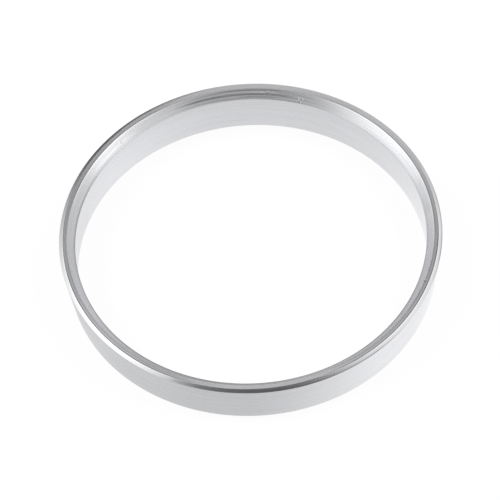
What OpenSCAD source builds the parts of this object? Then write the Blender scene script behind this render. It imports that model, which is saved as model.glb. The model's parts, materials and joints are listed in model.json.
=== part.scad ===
// Hub centric ring: one plain turned aluminium ring that fills the gap between
// a wheel's centre bore and the smaller spigot of the hub. It stands on its lower
// face, the narrower end that goes into the wheel first, and its axis is +Z.

/* [Fits] */
// Diameter of the bore, which the hub's spigot enters
bore_d = 67.1; // [54:0.1:110]
// Wall thickness at the widest circle of the outer wall, near the upper face
wall_t = 3; // [2.6:0.1:8]
// Height of the ring from its lower face to its upper face
ring_h = 10; // [6:0.5:16]
// Angle by which the outer wall narrows towards the lower face
taper = 7.5; // [0:0.5:12]

/* [Upper end] */
// Radial width of the slope that leads the spigot into the bore
mouth_w = 1.5; // [0.4:0.1:2]
// Depth of that slope along the axis
mouth_h = 1.5; // [0.4:0.1:3]
// Radial width of the slope round the outer edge of the upper face
rim_w = 0.7; // [0.2:0.1:1.2]
// Depth of that slope along the axis
rim_h = 0.4; // [0.2:0.1:1.2]

/* [Lower end] */
// Width and depth of the small slope that breaks the outer wall's lower edge
foot_w = 0.35; // [0.15:0.05:0.6]
// Width and depth of the small slope that breaks the bore's lower edge
break_w = 0.25; // [0.15:0.05:0.6]

/* [Edges] */
// Radius left on every turned edge
edge_r = 0.08; // [0.02:0.02:0.14]
// Steps in the arc of each turned edge
edge_steps = 3; // [2:1:6]
// Steps round the ring
ring_steps = 240; // [48:12:360]

/* [Hidden] */
bore_r = bore_d / 2;
outer_r = bore_r + wall_t;
// The taper runs from the slope at the upper end to the slope at the lower end
taper_h = ring_h - rim_h - foot_w;
foot_r = outer_r - taper_h * tan(taper);

// Corners of the ring's section as [radius, height], anticlockwise from the lower face's inner edge
section_corners = [
    [bore_r + break_w, 0],
    [foot_r - foot_w, 0],
    [foot_r, foot_w],
    [outer_r, ring_h - rim_h],
    [outer_r - rim_w, ring_h],
    [bore_r + mouth_w, ring_h],
    [bore_r, ring_h - mouth_h],
    [bore_r, break_w],
];

// Unit vector from one point towards another
function direction(from, to) = (to - from) / norm(to - from);

// Points of the arc that eases a corner, touching the sides to the points before and after it
function eased_corner(before, corner, after, radius) =
    let (
        back = direction(corner, before),
        ahead = direction(corner, after),
        half_angle = acos(back * ahead) / 2,
        centre = corner + (back + ahead) / norm(back + ahead) * radius / sin(half_angle),
        turn = 180 - 2 * half_angle,
        first = corner + back * radius / tan(half_angle) - centre,
        first_angle = atan2(first[1], first[0])
    )
    [for (step = [0:edge_steps])
        let (angle = first_angle + turn * step / edge_steps)
        centre + radius * [cos(angle), sin(angle)]];

// The ring's section with every corner eased
module section() {
    count = len(section_corners);
    polygon([for (i = [0:count - 1])
        each eased_corner(
            section_corners[(i + count - 1) % count],
            section_corners[i],
            section_corners[(i + 1) % count],
            edge_r)]);
}

// The ring, turned from its section in one piece
module ring() {
    color([0.80, 0.80, 0.82])
        rotate_extrude($fn = ring_steps) section();
}

ring();
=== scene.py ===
import json
import math

import bpy
from mathutils import Matrix, Vector


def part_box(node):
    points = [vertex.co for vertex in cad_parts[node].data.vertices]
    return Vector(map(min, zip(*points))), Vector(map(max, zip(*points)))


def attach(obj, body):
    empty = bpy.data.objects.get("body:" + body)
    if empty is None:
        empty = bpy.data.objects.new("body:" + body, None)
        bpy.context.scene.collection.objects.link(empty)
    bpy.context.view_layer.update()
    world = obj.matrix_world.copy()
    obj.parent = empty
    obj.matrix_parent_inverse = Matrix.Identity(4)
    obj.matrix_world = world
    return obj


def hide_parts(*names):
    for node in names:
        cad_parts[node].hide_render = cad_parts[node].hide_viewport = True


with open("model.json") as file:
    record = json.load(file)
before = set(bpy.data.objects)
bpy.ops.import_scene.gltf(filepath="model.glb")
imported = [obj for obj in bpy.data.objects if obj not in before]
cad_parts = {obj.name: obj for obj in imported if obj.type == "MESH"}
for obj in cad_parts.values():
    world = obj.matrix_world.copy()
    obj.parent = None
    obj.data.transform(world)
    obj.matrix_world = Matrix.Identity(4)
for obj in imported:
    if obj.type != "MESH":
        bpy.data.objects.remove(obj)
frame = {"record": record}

mm = 0.001
degrees = 180 / math.pi     # in a radian
noiseMean = 0.5             # what a noise texture gives on average
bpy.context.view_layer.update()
scene = bpy.context.scene
for leftover in ("Cube", "Light", "Camera"):
    if leftover in bpy.data.objects:
        bpy.data.objects.remove(bpy.data.objects[leftover])


# One output socket. A sum on it adds Math nodes to the tree it belongs to.
class Wire:
    def __init__(self, bench, socket):
        self.bench, self.socket = bench, socket

    def __add__(self, other):
        return self.bench.math("ADD", self, other)

    def __sub__(self, other):
        return self.bench.math("SUBTRACT", self, other)

    def __rsub__(self, other):
        return self.bench.math("SUBTRACT", other, self)

    def __mul__(self, other):
        return self.bench.math("MULTIPLY", self, other)

    def __truediv__(self, other):
        return self.bench.math("DIVIDE", self, other)

    def __rtruediv__(self, other):
        return self.bench.math("DIVIDE", other, self)

    def __abs__(self):
        return self.bench.math("ABSOLUTE", self)

    __radd__ = __add__
    __rmul__ = __mul__


# Where the nodes of one tree are put together
class Bench:
    def __init__(self, tree):
        self.tree = tree

    def math(self, operation, *values):
        return self.node("ShaderNodeMath", {"operation": operation}, dict(enumerate(values)))

    # A node of any type: its settings go first, then the values or links of its sockets
    def node(self, kind, settings=None, inputs=None, output=0):
        made = self.tree.nodes.new(kind)
        for name, value in (settings or {}).items():
            if name == "items":     # how many an Index Switch has
                while len(made.index_switch_items) < value:
                    made.index_switch_items.new()
            else:
                setattr(made, name, value)
        for key, value in (inputs or {}).items():
            self.feed(self.find(made.inputs, key), value)
        return None if output is None else Wire(self, self.find(made.outputs, output))

    def find(self, sockets, key):
        if isinstance(key, int):
            return sockets[key]
        return next(s for s in sockets if s.enabled and key in (s.name, s.identifier))

    def feed(self, socket, value):
        if isinstance(value, Wire):
            self.tree.links.new(value.socket, socket)
        else:
            socket.default_value = value

    def xyz(self, x, y, z):
        return self.node("ShaderNodeCombineXYZ", None, {"X": x, "Y": y, "Z": z})

    # 0 below low, 1 above high, and a smooth rise between them
    def rise(self, value, low, high):
        return self.node("ShaderNodeMapRange", {"interpolation_type": "SMOOTHSTEP"},
                         {"Value": value, "From Min": low, "From Max": high})

    # The angle in degrees that has this cosine
    def arc(self, cosine):
        kept = self.math("MINIMUM", self.math("MAXIMUM", cosine, -1.0), 1.0)
        return self.math("ARCCOSINE", kept) * degrees


# The ring, in millimetres. Its height comes from the frame, its two radii from the record.
ring = {
    "mouthWidth": 1.5,
    "mouthDepth": 1.5,
    "rimWidth": 0.7,
    "rimDepth": 0.4,
    "taper": 7.5,       # degrees by which the outer wall leans in towards the lower face
    "footEdge": 0.35,
    "boreEdge": 0.25,
    "edgeRadius": 0.08,
    "edgeSteps": 3,     # faces across each eased edge
    "faceWidth": 0.24,  # across the mouth, the upper face and the rim, where the dents are
    "around": 1500,     # faces round the ring
    "creaseAngle": 4.0,  # degrees; sharper bends between faces aren't smoothed
    "dentLean": 0.5,    # share of a mouth dent's push that goes outwards; the rest goes down
}
# Dents and nicks. The angle is in degrees, 0 at the right and 90 at the back. Inwards is the distance from
# the outer wall's widest circle, down is the distance from the upper face, and size is the dent's half width.
# The stain value is how strongly painted shade darkens the dent.
dents = [
    {"angle": -23.4, "inwards": 1.50, "down": 0.00, "size": 0.36, "depth": 0.10, "dentShade": 0.85},
    {"angle": 70.9, "inwards": 2.34, "down": 0.84, "size": 0.30, "depth": 0.06, "dentShade": 0.0},
    {"angle": 70.2, "inwards": 2.70, "down": 1.20, "size": 0.30, "depth": 0.07, "dentShade": 0.3},
    {"angle": 69.6, "inwards": 2.39, "down": 0.89, "size": 0.30, "depth": 0.06, "dentShade": 0.5},
    {"angle": 71.3, "inwards": 2.75, "down": 1.25, "size": 0.26, "depth": 0.05, "dentShade": 0.0},
    {"angle": 82.9, "inwards": 2.13, "down": 0.63, "size": 0.34, "depth": 0.05, "dentShade": 0.0},
    {"angle": 81.0, "inwards": 1.96, "down": 0.46, "size": 0.36, "depth": 0.06, "dentShade": 0.0},
    {"angle": 79.3, "inwards": 2.10, "down": 0.60, "size": 0.30, "depth": 0.05, "dentShade": 0.3},
    {"angle": 134.0, "inwards": 2.30, "down": 0.80, "size": 0.45, "depth": 0.05, "dentShade": 0.0},
]


# The middle of a dent, in metres
def dentCentre(dent):
    turn, reach = math.radians(dent["angle"]), outerRadius - dent["inwards"] * mm
    return Vector((reach * math.cos(turn), reach * math.sin(turn), ringHeight - dent["down"] * mm))


mountRadius = {mount["name"]: mount["dims"].get("r_mm", 0.0) * mm for mount in frame["record"]["mounts"]}
boreRadius = mountRadius["bore"]
outerRadius = mountRadius["outer_wall"]     # where the wall is widest, at the foot of the rim's slope
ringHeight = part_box("ring")[1].z


def ringTree():
    tree = bpy.data.node_groups.new("turnedRing", "GeometryNodeTree")
    bench = Bench(tree)
    sizes = {
        "Bore radius": boreRadius,
        "Outer radius": outerRadius,
        "Height": ringHeight,
        "Mouth width": ring["mouthWidth"] * mm,
        "Mouth depth": ring["mouthDepth"] * mm,
        "Rim width": ring["rimWidth"] * mm,
        "Rim depth": ring["rimDepth"] * mm,
        "Taper": math.radians(ring["taper"]),
        "Foot edge": ring["footEdge"] * mm,
        "Bore edge": ring["boreEdge"] * mm,
        "Edge radius": ring["edgeRadius"] * mm,
        "Edge steps": ring["edgeSteps"],
        "Face width": ring["faceWidth"] * mm,
        "Faces around": ring["around"],
    }
    sockets = {}
    for name, value in sizes.items():
        kind = "NodeSocketInt" if isinstance(value, int) else "NodeSocketFloat"
        sockets[name] = tree.interface.new_socket(name=name, in_out="INPUT", socket_type=kind)
    material = tree.interface.new_socket(name="Finish", in_out="INPUT", socket_type="NodeSocketMaterial")
    tree.interface.new_socket(name="Ring", in_out="OUTPUT", socket_type="NodeSocketGeometry")
    entry = tree.nodes.new("NodeGroupInput")
    size = {name: Wire(bench, entry.outputs[name]) for name in sizes}
    coat = Wire(bench, entry.outputs["Finish"])

    bore, outer, height = size["Bore radius"], size["Outer radius"], size["Height"]
    taperHeight = height - size["Rim depth"] - size["Foot edge"]
    foot = outer - taperHeight * bench.math("TANGENT", size["Taper"])
    # Corners of the section as (radius, height), clockwise from the bore's lower edge
    corners = [
        (bore, size["Bore edge"]),
        (bore, height - size["Mouth depth"]),
        (bore + size["Mouth width"], height),
        (outer - size["Rim width"], height),
        (outer, height - size["Rim depth"]),
        (foot, size["Foot edge"]),
        (foot - size["Foot edge"], 0.0),
        (bore + size["Bore edge"], 0.0),
    ]
    # The sweep takes the outline's x outwards from the bore wall and its y downwards
    index = bench.node("GeometryNodeInputIndex")
    places = {str(i): bench.xyz(radius - bore, 0.0 - up, 0.0) for i, (radius, up) in enumerate(corners)}
    place = bench.node("GeometryNodeIndexSwitch", {"data_type": "VECTOR", "items": len(corners)},
                       {"Index": index, **places})
    outline = bench.node("GeometryNodeCurvePrimitiveCircle", {"mode": "RADIUS"}, {"Resolution": len(corners)})
    outline = bench.node("GeometryNodeSetPosition", None, {"Geometry": outline, "Position": place})
    outline = bench.node("GeometryNodeFilletCurve", {"mode": "POLY"},
                         {"Curve": outline, "Count": size["Edge steps"], "Radius": size["Edge radius"]})
    # The mouth, the upper face and the rim are cut into narrow faces, from the last point of the eased edge
    # where each begins; lengths are listed by the number of that corner. The halves keep the test off whole numbers.
    steps = size["Edge steps"] + 1
    corner = bench.math("FLOOR", (index + 0.5) / steps)
    last = bench.math("GREATER_THAN", index - corner * steps, steps - 1.5)
    mouth = bench.math("SQRT", size["Mouth width"] * size["Mouth width"]
                       + size["Mouth depth"] * size["Mouth depth"])
    flat = outer - bore - size["Mouth width"] - size["Rim width"]
    rim = bench.math("SQRT", size["Rim width"] * size["Rim width"] + size["Rim depth"] * size["Rim depth"])
    lengths = {"1": mouth, "2": flat, "3": rim}
    length = bench.node("GeometryNodeIndexSwitch", {"data_type": "FLOAT", "items": len(corners)},
                        {"Index": corner, **lengths})
    outline = bench.node("GeometryNodeSubdivideCurve", None,
                         {"Curve": outline, "Cuts": bench.math("FLOOR", length / size["Face width"]) * last})
    path = bench.node("GeometryNodeCurvePrimitiveCircle", {"mode": "RADIUS"},
                      {"Resolution": size["Faces around"], "Radius": bore})
    path = bench.node("GeometryNodeSetCurveNormal", {"mode": "Z_UP"}, {"Curve": path})
    body = bench.node("GeometryNodeCurveToMesh", None, {"Curve": path, "Profile Curve": outline})
    # Each dent pushes the points near its centre inwards
    spot = bench.node("GeometryNodeInputPosition")
    push = None
    for dent in dents:
        turn = math.radians(dent["angle"])
        lean = ring["dentLean"] if dent["down"] > 0 else 0.0
        way = Vector((math.cos(turn) * lean, math.sin(turn) * lean, lean - 1.0)).normalized() * dent["depth"] * mm
        away = bench.node("ShaderNodeVectorMath", {"operation": "DISTANCE"},
                          {0: spot, 1: dentCentre(dent)}, "Value")
        amount = 1 - bench.rise(away, 0.0, dent["size"] * mm)
        step = bench.node("ShaderNodeVectorMath", {"operation": "SCALE"}, {0: way, "Scale": amount}, "Vector")
        push = step if push is None else bench.node("ShaderNodeVectorMath", {"operation": "ADD"},
                                                    {0: push, 1: step}, "Vector")
    body = bench.node("GeometryNodeSetPosition", None, {"Geometry": body, "Offset": push})
    # Smooth round the ring, with a crease along every turned edge
    body = bench.node("GeometryNodeSetShadeSmooth", {"domain": "FACE"}, {"Geometry": body, "Shade Smooth": True})
    bend = bench.node("GeometryNodeInputMeshEdgeAngle", output="Unsigned Angle")
    crease = bench.node("FunctionNodeCompare", {"operation": "GREATER_THAN"},
                        {"A": bend, "B": math.radians(ring["creaseAngle"])})
    body = bench.node("GeometryNodeSetShadeSmooth", {"domain": "EDGE"},
                      {"Geometry": body, "Selection": crease, "Shade Smooth": False})
    body = bench.node("GeometryNodeRealizeInstances", None, {"Geometry": body})
    body = bench.node("GeometryNodeSetMaterial", None, {"Geometry": body, "Material": coat})
    end = tree.nodes.new("NodeGroupOutput")
    bench.feed(end.inputs["Ring"], body)
    values = {sockets[name].identifier: value for name, value in sizes.items()}
    return tree, values, material.identifier


# The finish. Lengths are in millimetres, and angles in degrees as for the dents. Pitch is the width of a turned
# line across the section, length how far it runs round the ring, and depth how deep it is. The chatter's pitch
# is the length of a wave, row the distance between rows, and sway how far noise shifts a wave, in radians.
finish = {
    "tone": (0.804, 0.807, 0.828),
    "bandTone": (0.769, 0.772, 0.792),
    "brightTone": (0.97, 0.97, 0.98),
    "shadeAndStreakTone": (0.30, 0.30, 0.33),
    "roughness": 0.28,
    "roughnessSpread": 0.10,
    "anisotropy": 0.80,
    "anisotropyTurn": 0.25,     # a quarter turn, so that the gloss spreads across the turned lines
    "fineLines": {"pitch": 0.20, "length": 8.0, "depth": 0.0010, "detail": 2.0, "seed": 0.0},
    "bands": {"pitch": 0.45, "length": 16.0, "from": 0.35, "to": 0.75, "detail": 1.0, "seed": 7.0},
    "mouthLines": {"pitch": 0.55, "length": 20.0, "depth": 0.060, "detail": 3.0, "seed": 19.0},
    "topLines": {"pitch": 0.36, "length": 9.0, "depth": 0.010, "detail": 2.0, "seed": 31.0},
    "breaks": {"pitch": 0.30, "length": 3.5, "detail": 2.0, "seed": 43.0},  # how the lines and the chatter thin out and thicken
    "chatter": {"pitch": 0.60, "row": 0.55, "depth": 0.008, "sway": 9.0, "fade": 12.0},
    "chatterZones": [(14.0, 52.0), (121.0, 152.0)],     # where the chatter's waves begin and end
    "mouthMargin": 0.04,        # how far the mouth's lines go past its two edges
    "topMargin": 0.02,
    "lineCore": 0.3,            # share of a line's width at its full strength
    "dentShadeReach": 1.1,          # how far a dent's painted shade goes, in half widths of the dent
    # Dark lines and strips that run round the ring. Most are painted shade: dark reflections along the eased edges
    # and the foot, and darker strips on the rim and in the mouth; the short streaks at the back of the mouth are
    # marks on the metal.
    # Each is centred on the angle middle, goes as far as reach to both sides of it, and fades over fade.
    # A reach of 180 or more is all the way round.
    "paintedShadeAndStreaks": {
        "mouthFoot": {"inwards": 3.00, "down": 1.50, "width": 0.17, "strength": 0.90,
                      "middle": -110, "reach": 98, "fade": 32},
        "mouthLip": {"inwards": 3.00, "down": 1.50, "width": 0.75, "strength": 0.80,
                     "middle": -90, "reach": 57, "fade": 42},
        "mouthStrip": {"inwards": 2.90, "down": 1.40, "width": 0.50, "strength": 0.28,
                       "middle": -90, "reach": 137, "fade": 34},
        "mouthStreak": {"inwards": 2.29, "down": 0.79, "width": 0.26, "strength": 0.80,
                        "middle": 91, "reach": 17, "fade": 10},
        "mouthDash": {"inwards": 1.70, "down": 0.20, "width": 0.18, "strength": 0.62,
                      "middle": 87, "reach": 11, "fade": 8},
        "mouthArc": {"inwards": 2.66, "down": 1.16, "width": 0.17, "strength": 0.50,
                     "middle": 84, "reach": 6, "fade": 5},
        # darker patches on the mouth and the upper face
        "mouthDarkPatch": {"inwards": 2.20, "down": 0.75, "width": 1.20, "strength": 0.14,
                      "middle": 11, "reach": 7, "fade": 3},
        "faceDarkPatch": {"inwards": 1.10, "down": 0.00, "width": 0.60, "strength": 0.20,
                     "middle": -121, "reach": 9, "fade": 6},
        "faceRight": {"inwards": 1.37, "down": 0.00, "width": 0.16, "strength": 0.50,
                      "middle": 29, "reach": 33, "fade": 8},
        "faceLeft": {"inwards": 1.37, "down": 0.00, "width": 0.16, "strength": 0.50,
                     "middle": 138, "reach": 22, "fade": 8},
        "faceFrontLeft": {"inwards": 1.37, "down": 0.00, "width": 0.20, "strength": 0.34,
                          "middle": -146, "reach": 29, "fade": 12},
        "faceFrontRight": {"inwards": 1.37, "down": 0.00, "width": 0.20, "strength": 0.30,
                           "middle": -37, "reach": 29, "fade": 12},
        "faceOuterLeft": {"inwards": 0.80, "down": 0.00, "width": 0.14, "strength": 0.85,
                          "middle": -144, "reach": 28, "fade": 16},
        "faceOuterRight": {"inwards": 0.80, "down": 0.00, "width": 0.14, "strength": 0.85,
                           "middle": -34, "reach": 32, "fade": 16},
        "rimBand": {"inwards": 0.27, "down": 0.25, "width": 0.36, "strength": 0.62,
                    "middle": 134, "reach": 16, "fade": 6},
        "rimTrail": {"inwards": 0.27, "down": 0.25, "width": 0.36, "strength": 0.34,
                     "middle": 122, "reach": 20, "fade": 26},
        "rimFront": {"inwards": 0.42, "down": 0.16, "width": 0.48, "strength": 0.24,
                     "middle": -93, "reach": 18, "fade": 10},
        "rimStep": {"inwards": 0.35, "down": 0.20, "width": 0.52, "strength": 0.26,
                    "middle": -112, "reach": 5, "fade": 3},
        "rimFootRight": {"inwards": 0.08, "down": 0.36, "width": 0.20, "strength": 0.60,
                         "middle": -3, "reach": 16, "fade": 14},
        "rimFootFront": {"inwards": 0.08, "down": 0.36, "width": 0.20, "strength": 0.58,
                         "middle": -68, "reach": 24, "fade": 18},
        "footEdge": {"inwards": 1.22, "down": 9.65, "width": 0.12, "strength": 0.40,
                     "middle": 0, "reach": 200, "fade": 2},
    },
    # Bright lines and strips, written the same way. The thin lines along the eased edges and in the mouth are painted
    # highlights; the wider strips on the upper face and the rim are partly rubbed metal and partly painted reflection
    # of brighter light.
    "highlightsAndRubs": {
        "rimTopLeft": {"inwards": 0.62, "down": 0.04, "width": 0.16, "strength": 1.0,
                       "middle": -150, "reach": 38, "fade": 16},
        "rimTopRight": {"inwards": 0.62, "down": 0.04, "width": 0.16, "strength": 1.0,
                        "middle": -28, "reach": 42, "fade": 16},
        "mouthLipRight": {"inwards": 2.94, "down": 1.44, "width": 0.17, "strength": 1.0,
                          "middle": 1, "reach": 13, "fade": 6},
        "rimShineRight": {"inwards": 0.35, "down": 0.20, "width": 0.56, "strength": 0.42,
                          "middle": 8, "reach": 13, "fade": 3},
        "mouthTopRight": {"inwards": 1.62, "down": 0.10, "width": 0.18, "strength": 0.85,
                          "middle": 28, "reach": 35, "fade": 10},
        "mouthTopLeft": {"inwards": 1.62, "down": 0.10, "width": 0.18, "strength": 1.0,
                         "middle": 140, "reach": 23, "fade": 8},
        "mouthShine": {"inwards": 2.34, "down": 0.84, "width": 0.50, "strength": 0.40,
                       "middle": 138, "reach": 9, "fade": 8},
        "faceShineRight": {"inwards": 1.10, "down": 0.00, "width": 0.60, "strength": 0.34,
                           "middle": 36, "reach": 15, "fade": 3},
        "faceShineBack": {"inwards": 1.10, "down": 0.00, "width": 0.60, "strength": 0.34,
                          "middle": 92, "reach": 20, "fade": 16},
        "faceShineLeft": {"inwards": 1.10, "down": 0.00, "width": 0.60, "strength": 0.30,
                          "middle": -149, "reach": 9, "fade": 8},
        "faceShineFront": {"inwards": 1.10, "down": 0.00, "width": 0.60, "strength": 0.30,
                           "middle": -86, "reach": 18, "fade": 6},
    },
}


def turnedAluminium():
    material = bpy.data.materials.new("turnedAluminium")
    material.use_nodes = True
    tree = material.node_tree
    tree.nodes.clear()
    bench = Bench(tree)
    place = bench.node("ShaderNodeTexCoord", output="Object")
    x, y, z = (bench.node("ShaderNodeSeparateXYZ", None, {"Vector": place}, axis) / mm for axis in "XYZ")
    radius = bench.math("SQRT", x * x + y * y)
    across, along = x / radius, y / radius
    angle = bench.math("ARCTAN2", y, x) * degrees
    bore, outer, height = boreRadius / mm, outerRadius / mm, ringHeight / mm
    margin = finish["mouthMargin"]
    onMouth = (bench.math("LESS_THAN", radius, bore + ring["mouthWidth"] + margin)
               * bench.math("GREATER_THAN", z, height - ring["mouthDepth"] - margin))
    onTop = bench.math("GREATER_THAN", z, height - ring["rimDepth"] - finish["topMargin"]) * (1 - onMouth)

    # Turned lines: they change fast over the section, and slowly on the way round
    def turnedNoise(lines):
        turns = outer / lines["length"]
        vector = bench.xyz(across * turns + lines["seed"], along * turns, radius / lines["pitch"])
        return bench.node("ShaderNodeTexNoise", {"noise_dimensions": "4D"},
                          {"Vector": vector, "W": z / lines["pitch"], "Scale": 1.0, "Detail": lines["detail"]}, "Fac")

    fine = turnedNoise(finish["fineLines"])
    bands = turnedNoise(finish["bands"])
    mouthLines = turnedNoise(finish["mouthLines"])
    topLines = turnedNoise(finish["topLines"])
    breaks = turnedNoise(finish["breaks"])

    # Chatter: rows of small waves across the mouth, in two stretches of it
    chatter = finish["chatter"]
    wave = bench.math("SINE", angle * (math.radians(1.0) * bore / chatter["pitch"] * 2 * math.pi)
                      + topLines * chatter["sway"])
    row = bench.math("SINE", radius * (2 * math.pi / chatter["row"]))
    half = chatter["fade"] / 2
    zones = 0.0
    for low, high in finish["chatterZones"]:
        zones = bench.rise(angle, low - half, low + half) * (1 - bench.rise(angle, high - half, high + half)) + zones
    relief = (fine * finish["fineLines"]["depth"]
              + mouthLines * onMouth * finish["mouthLines"]["depth"]
              + topLines * onTop * finish["topLines"]["depth"]
              + wave * row * breaks * zones * onMouth * chatter["depth"])
    bumps = bench.node("ShaderNodeBump", None, {"Strength": 1.0, "Distance": mm, "Height": relief}, "Normal")

    # The share of the metal that these lines leave clear. The breaks average out, so each line keeps its strength.
    def clear(lines):
        share = 1.0
        for line in lines.values():
            out, up = radius - (outer - line["inwards"]), z - (height - line["down"])
            away = bench.math("SQRT", out * out + up * up)
            on = (1 - bench.rise(away, line["width"] * finish["lineCore"], line["width"])) * line["strength"]
            if line["reach"] < 180:
                middle = math.radians(line["middle"])
                turn = bench.arc(across * math.cos(middle) + along * math.sin(middle))
                on = on * (1 - bench.rise(turn, line["reach"] - line["fade"] / 2, line["reach"] + line["fade"] / 2))
            share = (1 - on * (1 - noiseMean + breaks)) * share
        return share

    # Painted shade along the edges, on the rim and in the mouth, together with the streaks at the back of the mouth
    clearOfShadeAndStreaks = clear(finish["paintedShadeAndStreaks"])
    # Painted shade that darkens each dent
    for dent in dents:
        if dent["dentShade"] > 0:
            away = bench.node("ShaderNodeVectorMath", {"operation": "DISTANCE"},
                              {0: place, 1: dentCentre(dent)}, "Value") / mm
            dentShade = (1 - bench.rise(away, 0.0, dent["size"] * finish["dentShadeReach"])) * dent["dentShade"]
            clearOfShadeAndStreaks = (1 - dentShade) * clearOfShadeAndStreaks

    def blend(amount, first, second):
        return bench.node("ShaderNodeMix", {"data_type": "RGBA"},
                          {"Factor": amount, "A": first, "B": second}, "Result")

    banded = bench.rise(bands, finish["bands"]["from"], finish["bands"]["to"])
    colour = blend(banded, (*finish["tone"], 1), (*finish["bandTone"], 1))
    # Painted highlights along the eased edges and in the mouth, and brighter strips that are partly rubbed metal and
    # partly painted reflection
    colour = blend(1 - clear(finish["highlightsAndRubs"]), colour, (*finish["brightTone"], 1))
    # Then the painted shade and the streaks over the tone and the highlights
    colour = blend(1 - clearOfShadeAndStreaks, colour, (*finish["shadeAndStreakTone"], 1))
    roughness = finish["roughness"] + (fine - noiseMean) * finish["roughnessSpread"]
    surface = bench.node("ShaderNodeBsdfPrincipled", None,
                         {"Base Color": colour, "Metallic": 1.0, "Roughness": roughness,
                          "Anisotropic": finish["anisotropy"], "Anisotropic Rotation": finish["anisotropyTurn"],
                          "Normal": bumps}, "BSDF")
    bench.node("ShaderNodeOutputMaterial", None, {"Surface": surface}, None)
    return material


def makeRing():
    tree, values, materialInput = ringTree()
    piece = bpy.data.objects.new("turnedRing", bpy.data.meshes.new("turnedRing"))
    scene.collection.objects.link(piece)
    modifier = piece.modifiers.new("turnedRing", "NODES")
    modifier.node_group = tree
    for identifier, value in values.items():
        modifier[identifier] = value
    modifier[materialInput] = turnedAluminium()
    evaluated = piece.evaluated_get(bpy.context.evaluated_depsgraph_get())
    mesh = bpy.data.meshes.new_from_object(evaluated)
    piece.modifiers.remove(modifier)
    piece.data = mesh
    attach(piece, "root")
    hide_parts("ring")
    print("ring:", len(mesh.polygons), "faces")


# The studio's light, all angles in degrees. Azimuth 0 is the camera's side, 90 the right and -90 the left.
# Each panel adds its strength to the light, or takes it away, and fades over its sideEdge and topEdge.
studio = {
    "lowLight": 0.609,      # at the horizon
    "highLight": 0.747,     # from the elevation highFrom upwards
    "highFrom": 80.0,
    "leastLight": 0.02,
    "panels": {
        "leftBox": {"azimuth": -94.5, "elevation": 35.8, "halfWidth": 29.7, "halfHeight": 25.3,
                    "sideEdge": 58.6, "topEdge": 8.5, "strength": 0.78},
        "rightBox": {"azimuth": 75.3, "elevation": 12.5, "halfWidth": 12.9, "halfHeight": 13.1,
                     "sideEdge": 18.0, "topEdge": 9.0, "strength": 0.57},
        "rightWall": {"azimuth": 86.9, "elevation": 54.4, "halfWidth": 53.4, "halfHeight": 40.0,
                      "sideEdge": 22.0, "topEdge": 7.0, "strength": 0.30},
        "cameraShade": {"azimuth": 6.5, "elevation": 77.0, "halfWidth": 54.5, "halfHeight": 35.9,
                        "sideEdge": 60.0, "topEdge": 47.7, "strength": -0.97},
        "doorShade": {"azimuth": -160.0, "elevation": 24.0, "halfWidth": 9.5, "halfHeight": 21.3,
                      "sideEdge": 24.4, "topEdge": 25.9, "strength": -1.20},
        "deskGlow": {"azimuth": 4.0, "elevation": 31.0, "halfWidth": 34.0, "halfHeight": 13.0,
                     "sideEdge": 34.0, "topEdge": 14.0, "strength": 0.23},
        "railShade": {"azimuth": 170.6, "elevation": 49.3, "halfWidth": 38.0, "halfHeight": 5.0,
                      "sideEdge": 5.5, "topEdge": 4.0, "strength": -0.49},
        "sideShade": {"azimuth": 118.0, "elevation": 5.0, "halfWidth": 26.0, "halfHeight": 16.0,
                      "sideEdge": 16.0, "topEdge": 14.0, "strength": -0.09},
        "leftStep": {"azimuth": -38.0, "elevation": 62.0, "halfWidth": 20.0, "halfHeight": 12.0,
                     "sideEdge": 8.0, "topEdge": 8.0, "strength": -0.06},
        "rightStep": {"azimuth": 38.0, "elevation": 62.0, "halfWidth": 14.0, "halfHeight": 12.0,
                      "sideEdge": 8.0, "topEdge": 8.0, "strength": -0.09},
    },
}


# The direction from the ring to a place in the studio
def towards(azimuth, elevation):
    turn, rise = math.radians(azimuth), math.radians(elevation)
    return Vector((math.sin(turn) * math.cos(rise), -math.cos(turn) * math.cos(rise), math.sin(rise)))


def makeStudio():
    world = bpy.data.worlds.new("studio")
    scene.world = world
    world.use_nodes = True
    world.node_tree.nodes.clear()
    bench = Bench(world.node_tree)
    direction = bench.node("ShaderNodeTexCoord", output="Generated")
    x, y, z = (bench.node("ShaderNodeSeparateXYZ", None, {"Vector": direction}, axis) for axis in "XYZ")
    leastLevel = 0.0001     # so that straight up isn't divided by nothing
    level = bench.math("MAXIMUM", bench.math("SQRT", x * x + y * y), leastLevel)
    elevation = bench.math("ARCSINE", z) * degrees
    light = studio["lowLight"] + bench.rise(elevation, 0.0, studio["highFrom"]) * (
        studio["highLight"] - studio["lowLight"])

    # 1 inside a panel and 0 outside it, with soft edges
    def inside(turn, half, edge):
        return 1 - bench.rise(turn, half - edge / 2, half + edge / 2)

    for panel in studio["panels"].values():
        centre = towards(panel["azimuth"], 0.0)
        turn = bench.arc((x * centre.x + y * centre.y) / level)
        light = light + (inside(turn, panel["halfWidth"], panel["sideEdge"])
                         * inside(abs(elevation - panel["elevation"]), panel["halfHeight"], panel["topEdge"])
                         * panel["strength"])
    light = bench.math("MAXIMUM", light, studio["leastLight"])
    seen = bench.node("ShaderNodeLightPath", output="Is Camera Ray")
    light = light + seen * (1 - light)      # the camera sees plain white
    background = bench.node("ShaderNodeBackground", None,
                            {"Color": bench.xyz(light, light, light), "Strength": 1.0}, "Background")
    bench.node("ShaderNodeOutputWorld", None, {"Surface": background}, None)
    print("studio:", len(studio["panels"]), "panels")


# Two large soft lamps that light the floor's paper and aren't mirrored by the metal; metres, degrees and watts
lamps = {
    "left": {"azimuth": -90.0, "elevation": 42.0, "distance": 1.5, "size": 1.2, "power": 14.0},
    "right": {"azimuth": 90.0, "elevation": 42.0, "distance": 1.5, "size": 1.2, "power": 14.0},
}


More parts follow.
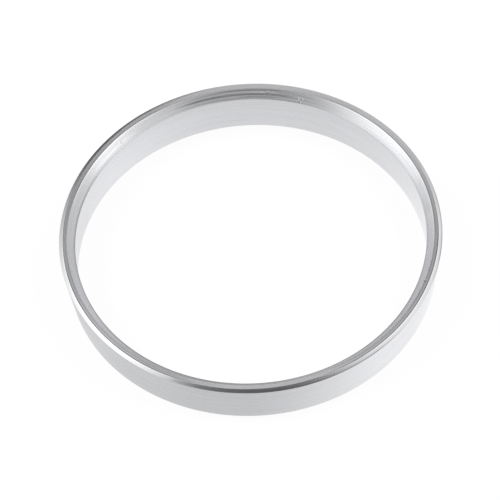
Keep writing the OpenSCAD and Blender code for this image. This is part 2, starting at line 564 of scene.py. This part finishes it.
def makeLamps():
    for name, lamp in lamps.items():
        data = bpy.data.lights.new(name + "Lamp", "AREA")
        data.shape = "SQUARE"
        data.size = lamp["size"]
        data.energy = lamp["power"]
        light = bpy.data.objects.new(name + "Lamp", data)
        scene.collection.objects.link(light)
        way = towards(lamp["azimuth"], lamp["elevation"])
        facing = way.to_track_quat("Z", "Y").to_matrix().to_4x4()
        light.matrix_world = Matrix.Translation(way * lamp["distance"]) @ facing
        light.visible_glossy = False
        light.visible_camera = False
    print("lamps:", len(lamps))


# The floor, in millimetres. The metal sees the paper at its mirroredLight, with soft round spots on it.
floor = {
    "halfSize": 3000.0,
    "gap": 0.02,            # below the ring's lower face, so that the two faces don't lie in one plane
    "paper": (0.94, 0.94, 0.945),
    "glow": 0.90,           # share of plain white that the camera sees; the rest is lit paper, with the shadow
    "mirroredLight": 0.592,
    "mirroredTint": (0.994, 0.994, 1.0),
    "spots": {
        "nearGlow": {"centre": (0.0, 0.0), "radius": 62.0, "edge": 30.0, "strength": 0.15},
        "rightGlow": {"centre": (38.0, -12.0), "radius": 33.0, "edge": 32.0, "strength": 0.34},
        "leftGlow": {"centre": (-36.0, 12.0), "radius": 25.0, "edge": 32.0, "strength": 0.24},
        "backGlow": {"centre": (0.0, 30.0), "radius": 27.0, "edge": 24.0, "strength": 0.10},
        "frontShade": {"centre": (-9.0, -37.0), "radius": 12.0, "edge": 16.0, "strength": -0.04},
        "cornerShade": {"centre": (-42.0, -7.0), "radius": 10.0, "edge": 12.0, "strength": -0.14},
        "innerShade": {"centre": (0.0, -4.0), "radius": 24.0, "edge": 14.0, "strength": -0.42},
        "backShade": {"centre": (-50.0, 72.0), "radius": 28.0, "edge": 30.0, "strength": -0.33},
    },
}


def makeFloor():
    half, down = floor["halfSize"] * mm, -floor["gap"] * mm
    mesh = bpy.data.meshes.new("floor")
    corners = [(-half, -half, down), (half, -half, down), (half, half, down), (-half, half, down)]
    mesh.from_pydata(corners, [], [(0, 1, 2, 3)])
    plane = bpy.data.objects.new("floor", mesh)
    scene.collection.objects.link(plane)
    material = bpy.data.materials.new("paleFloor")
    material.use_nodes = True
    material.node_tree.nodes.clear()
    bench = Bench(material.node_tree)
    place = bench.node("ShaderNodeTexCoord", output="Object")
    light = floor["mirroredLight"]
    for spot in floor["spots"].values():
        away = bench.node("ShaderNodeVectorMath", {"operation": "DISTANCE"},
                          {0: place, 1: Vector((*spot["centre"], 0.0)) * mm}, "Value") / mm
        inside = 1 - bench.rise(away, spot["radius"] - spot["edge"] / 2, spot["radius"] + spot["edge"] / 2)
        light = light + inside * spot["strength"]
    seen = bench.node("ShaderNodeLightPath", output="Is Camera Ray")
    mirrored = bench.node("ShaderNodeLightPath", output="Is Glossy Ray")
    through = bench.node("ShaderNodeLightPath", output="Is Transmission Ray")
    tinted = bench.xyz(*(light * share for share in floor["mirroredTint"]))
    paper = bench.node("ShaderNodeMix", {"data_type": "RGBA"},
                       {"Factor": seen, "A": tinted, "B": (1.0, 1.0, 1.0, 1.0)}, "Result")
    matt = bench.node("ShaderNodeBsdfDiffuse", None, {"Color": (*floor["paper"], 1)}, "BSDF")
    white = bench.node("ShaderNodeEmission", None, {"Color": paper, "Strength": 1.0}, "Emission")
    share = seen * floor["glow"] + bench.math("MAXIMUM", mirrored, through)
    surface = bench.node("ShaderNodeMixShader", None, {0: share, 1: matt, 2: white}, "Shader")
    bench.node("ShaderNodeOutputMaterial", None, {"Surface": surface}, None)
    material.cycles.emission_sampling = "NONE"
    mesh.materials.append(material)
    print("floor:", len(floor["spots"]), "spots")


# The camera: distances in millimetres, angles in degrees
camera = {
    "aim": (-0.299, -0.129, 4.906),
    "distance": 906.5,
    "elevation": 53.90,
    "roll": -4.20,
    "lens": 341.2,
    "sensorWidth": 36.0,
    "nearest": 10.0,
    "furthest": 50000.0,
}


def makeCamera():
    data = bpy.data.cameras.new("camera")
    data.lens = camera["lens"]
    data.sensor_width = camera["sensorWidth"]
    data.clip_start, data.clip_end = camera["nearest"] * mm, camera["furthest"] * mm
    eye = bpy.data.objects.new("camera", data)
    scene.collection.objects.link(eye)
    back = towards(0.0, camera["elevation"])
    level = Vector((1, 0, 0))
    up = back.cross(level)
    turn = math.radians(camera["roll"])
    right = level * math.cos(turn) + up * math.sin(turn)
    top = back.cross(right)
    place = Vector(camera["aim"]) * mm + back * camera["distance"] * mm
    eye.matrix_world = Matrix.Translation(place) @ Matrix((right, top, back)).transposed().to_4x4()
    scene.camera = eye
    print("camera: lens", camera["lens"])


makeCamera()
makeStudio()
makeLamps()
makeFloor()
makeRing()

scene.view_settings.view_transform = "Standard"
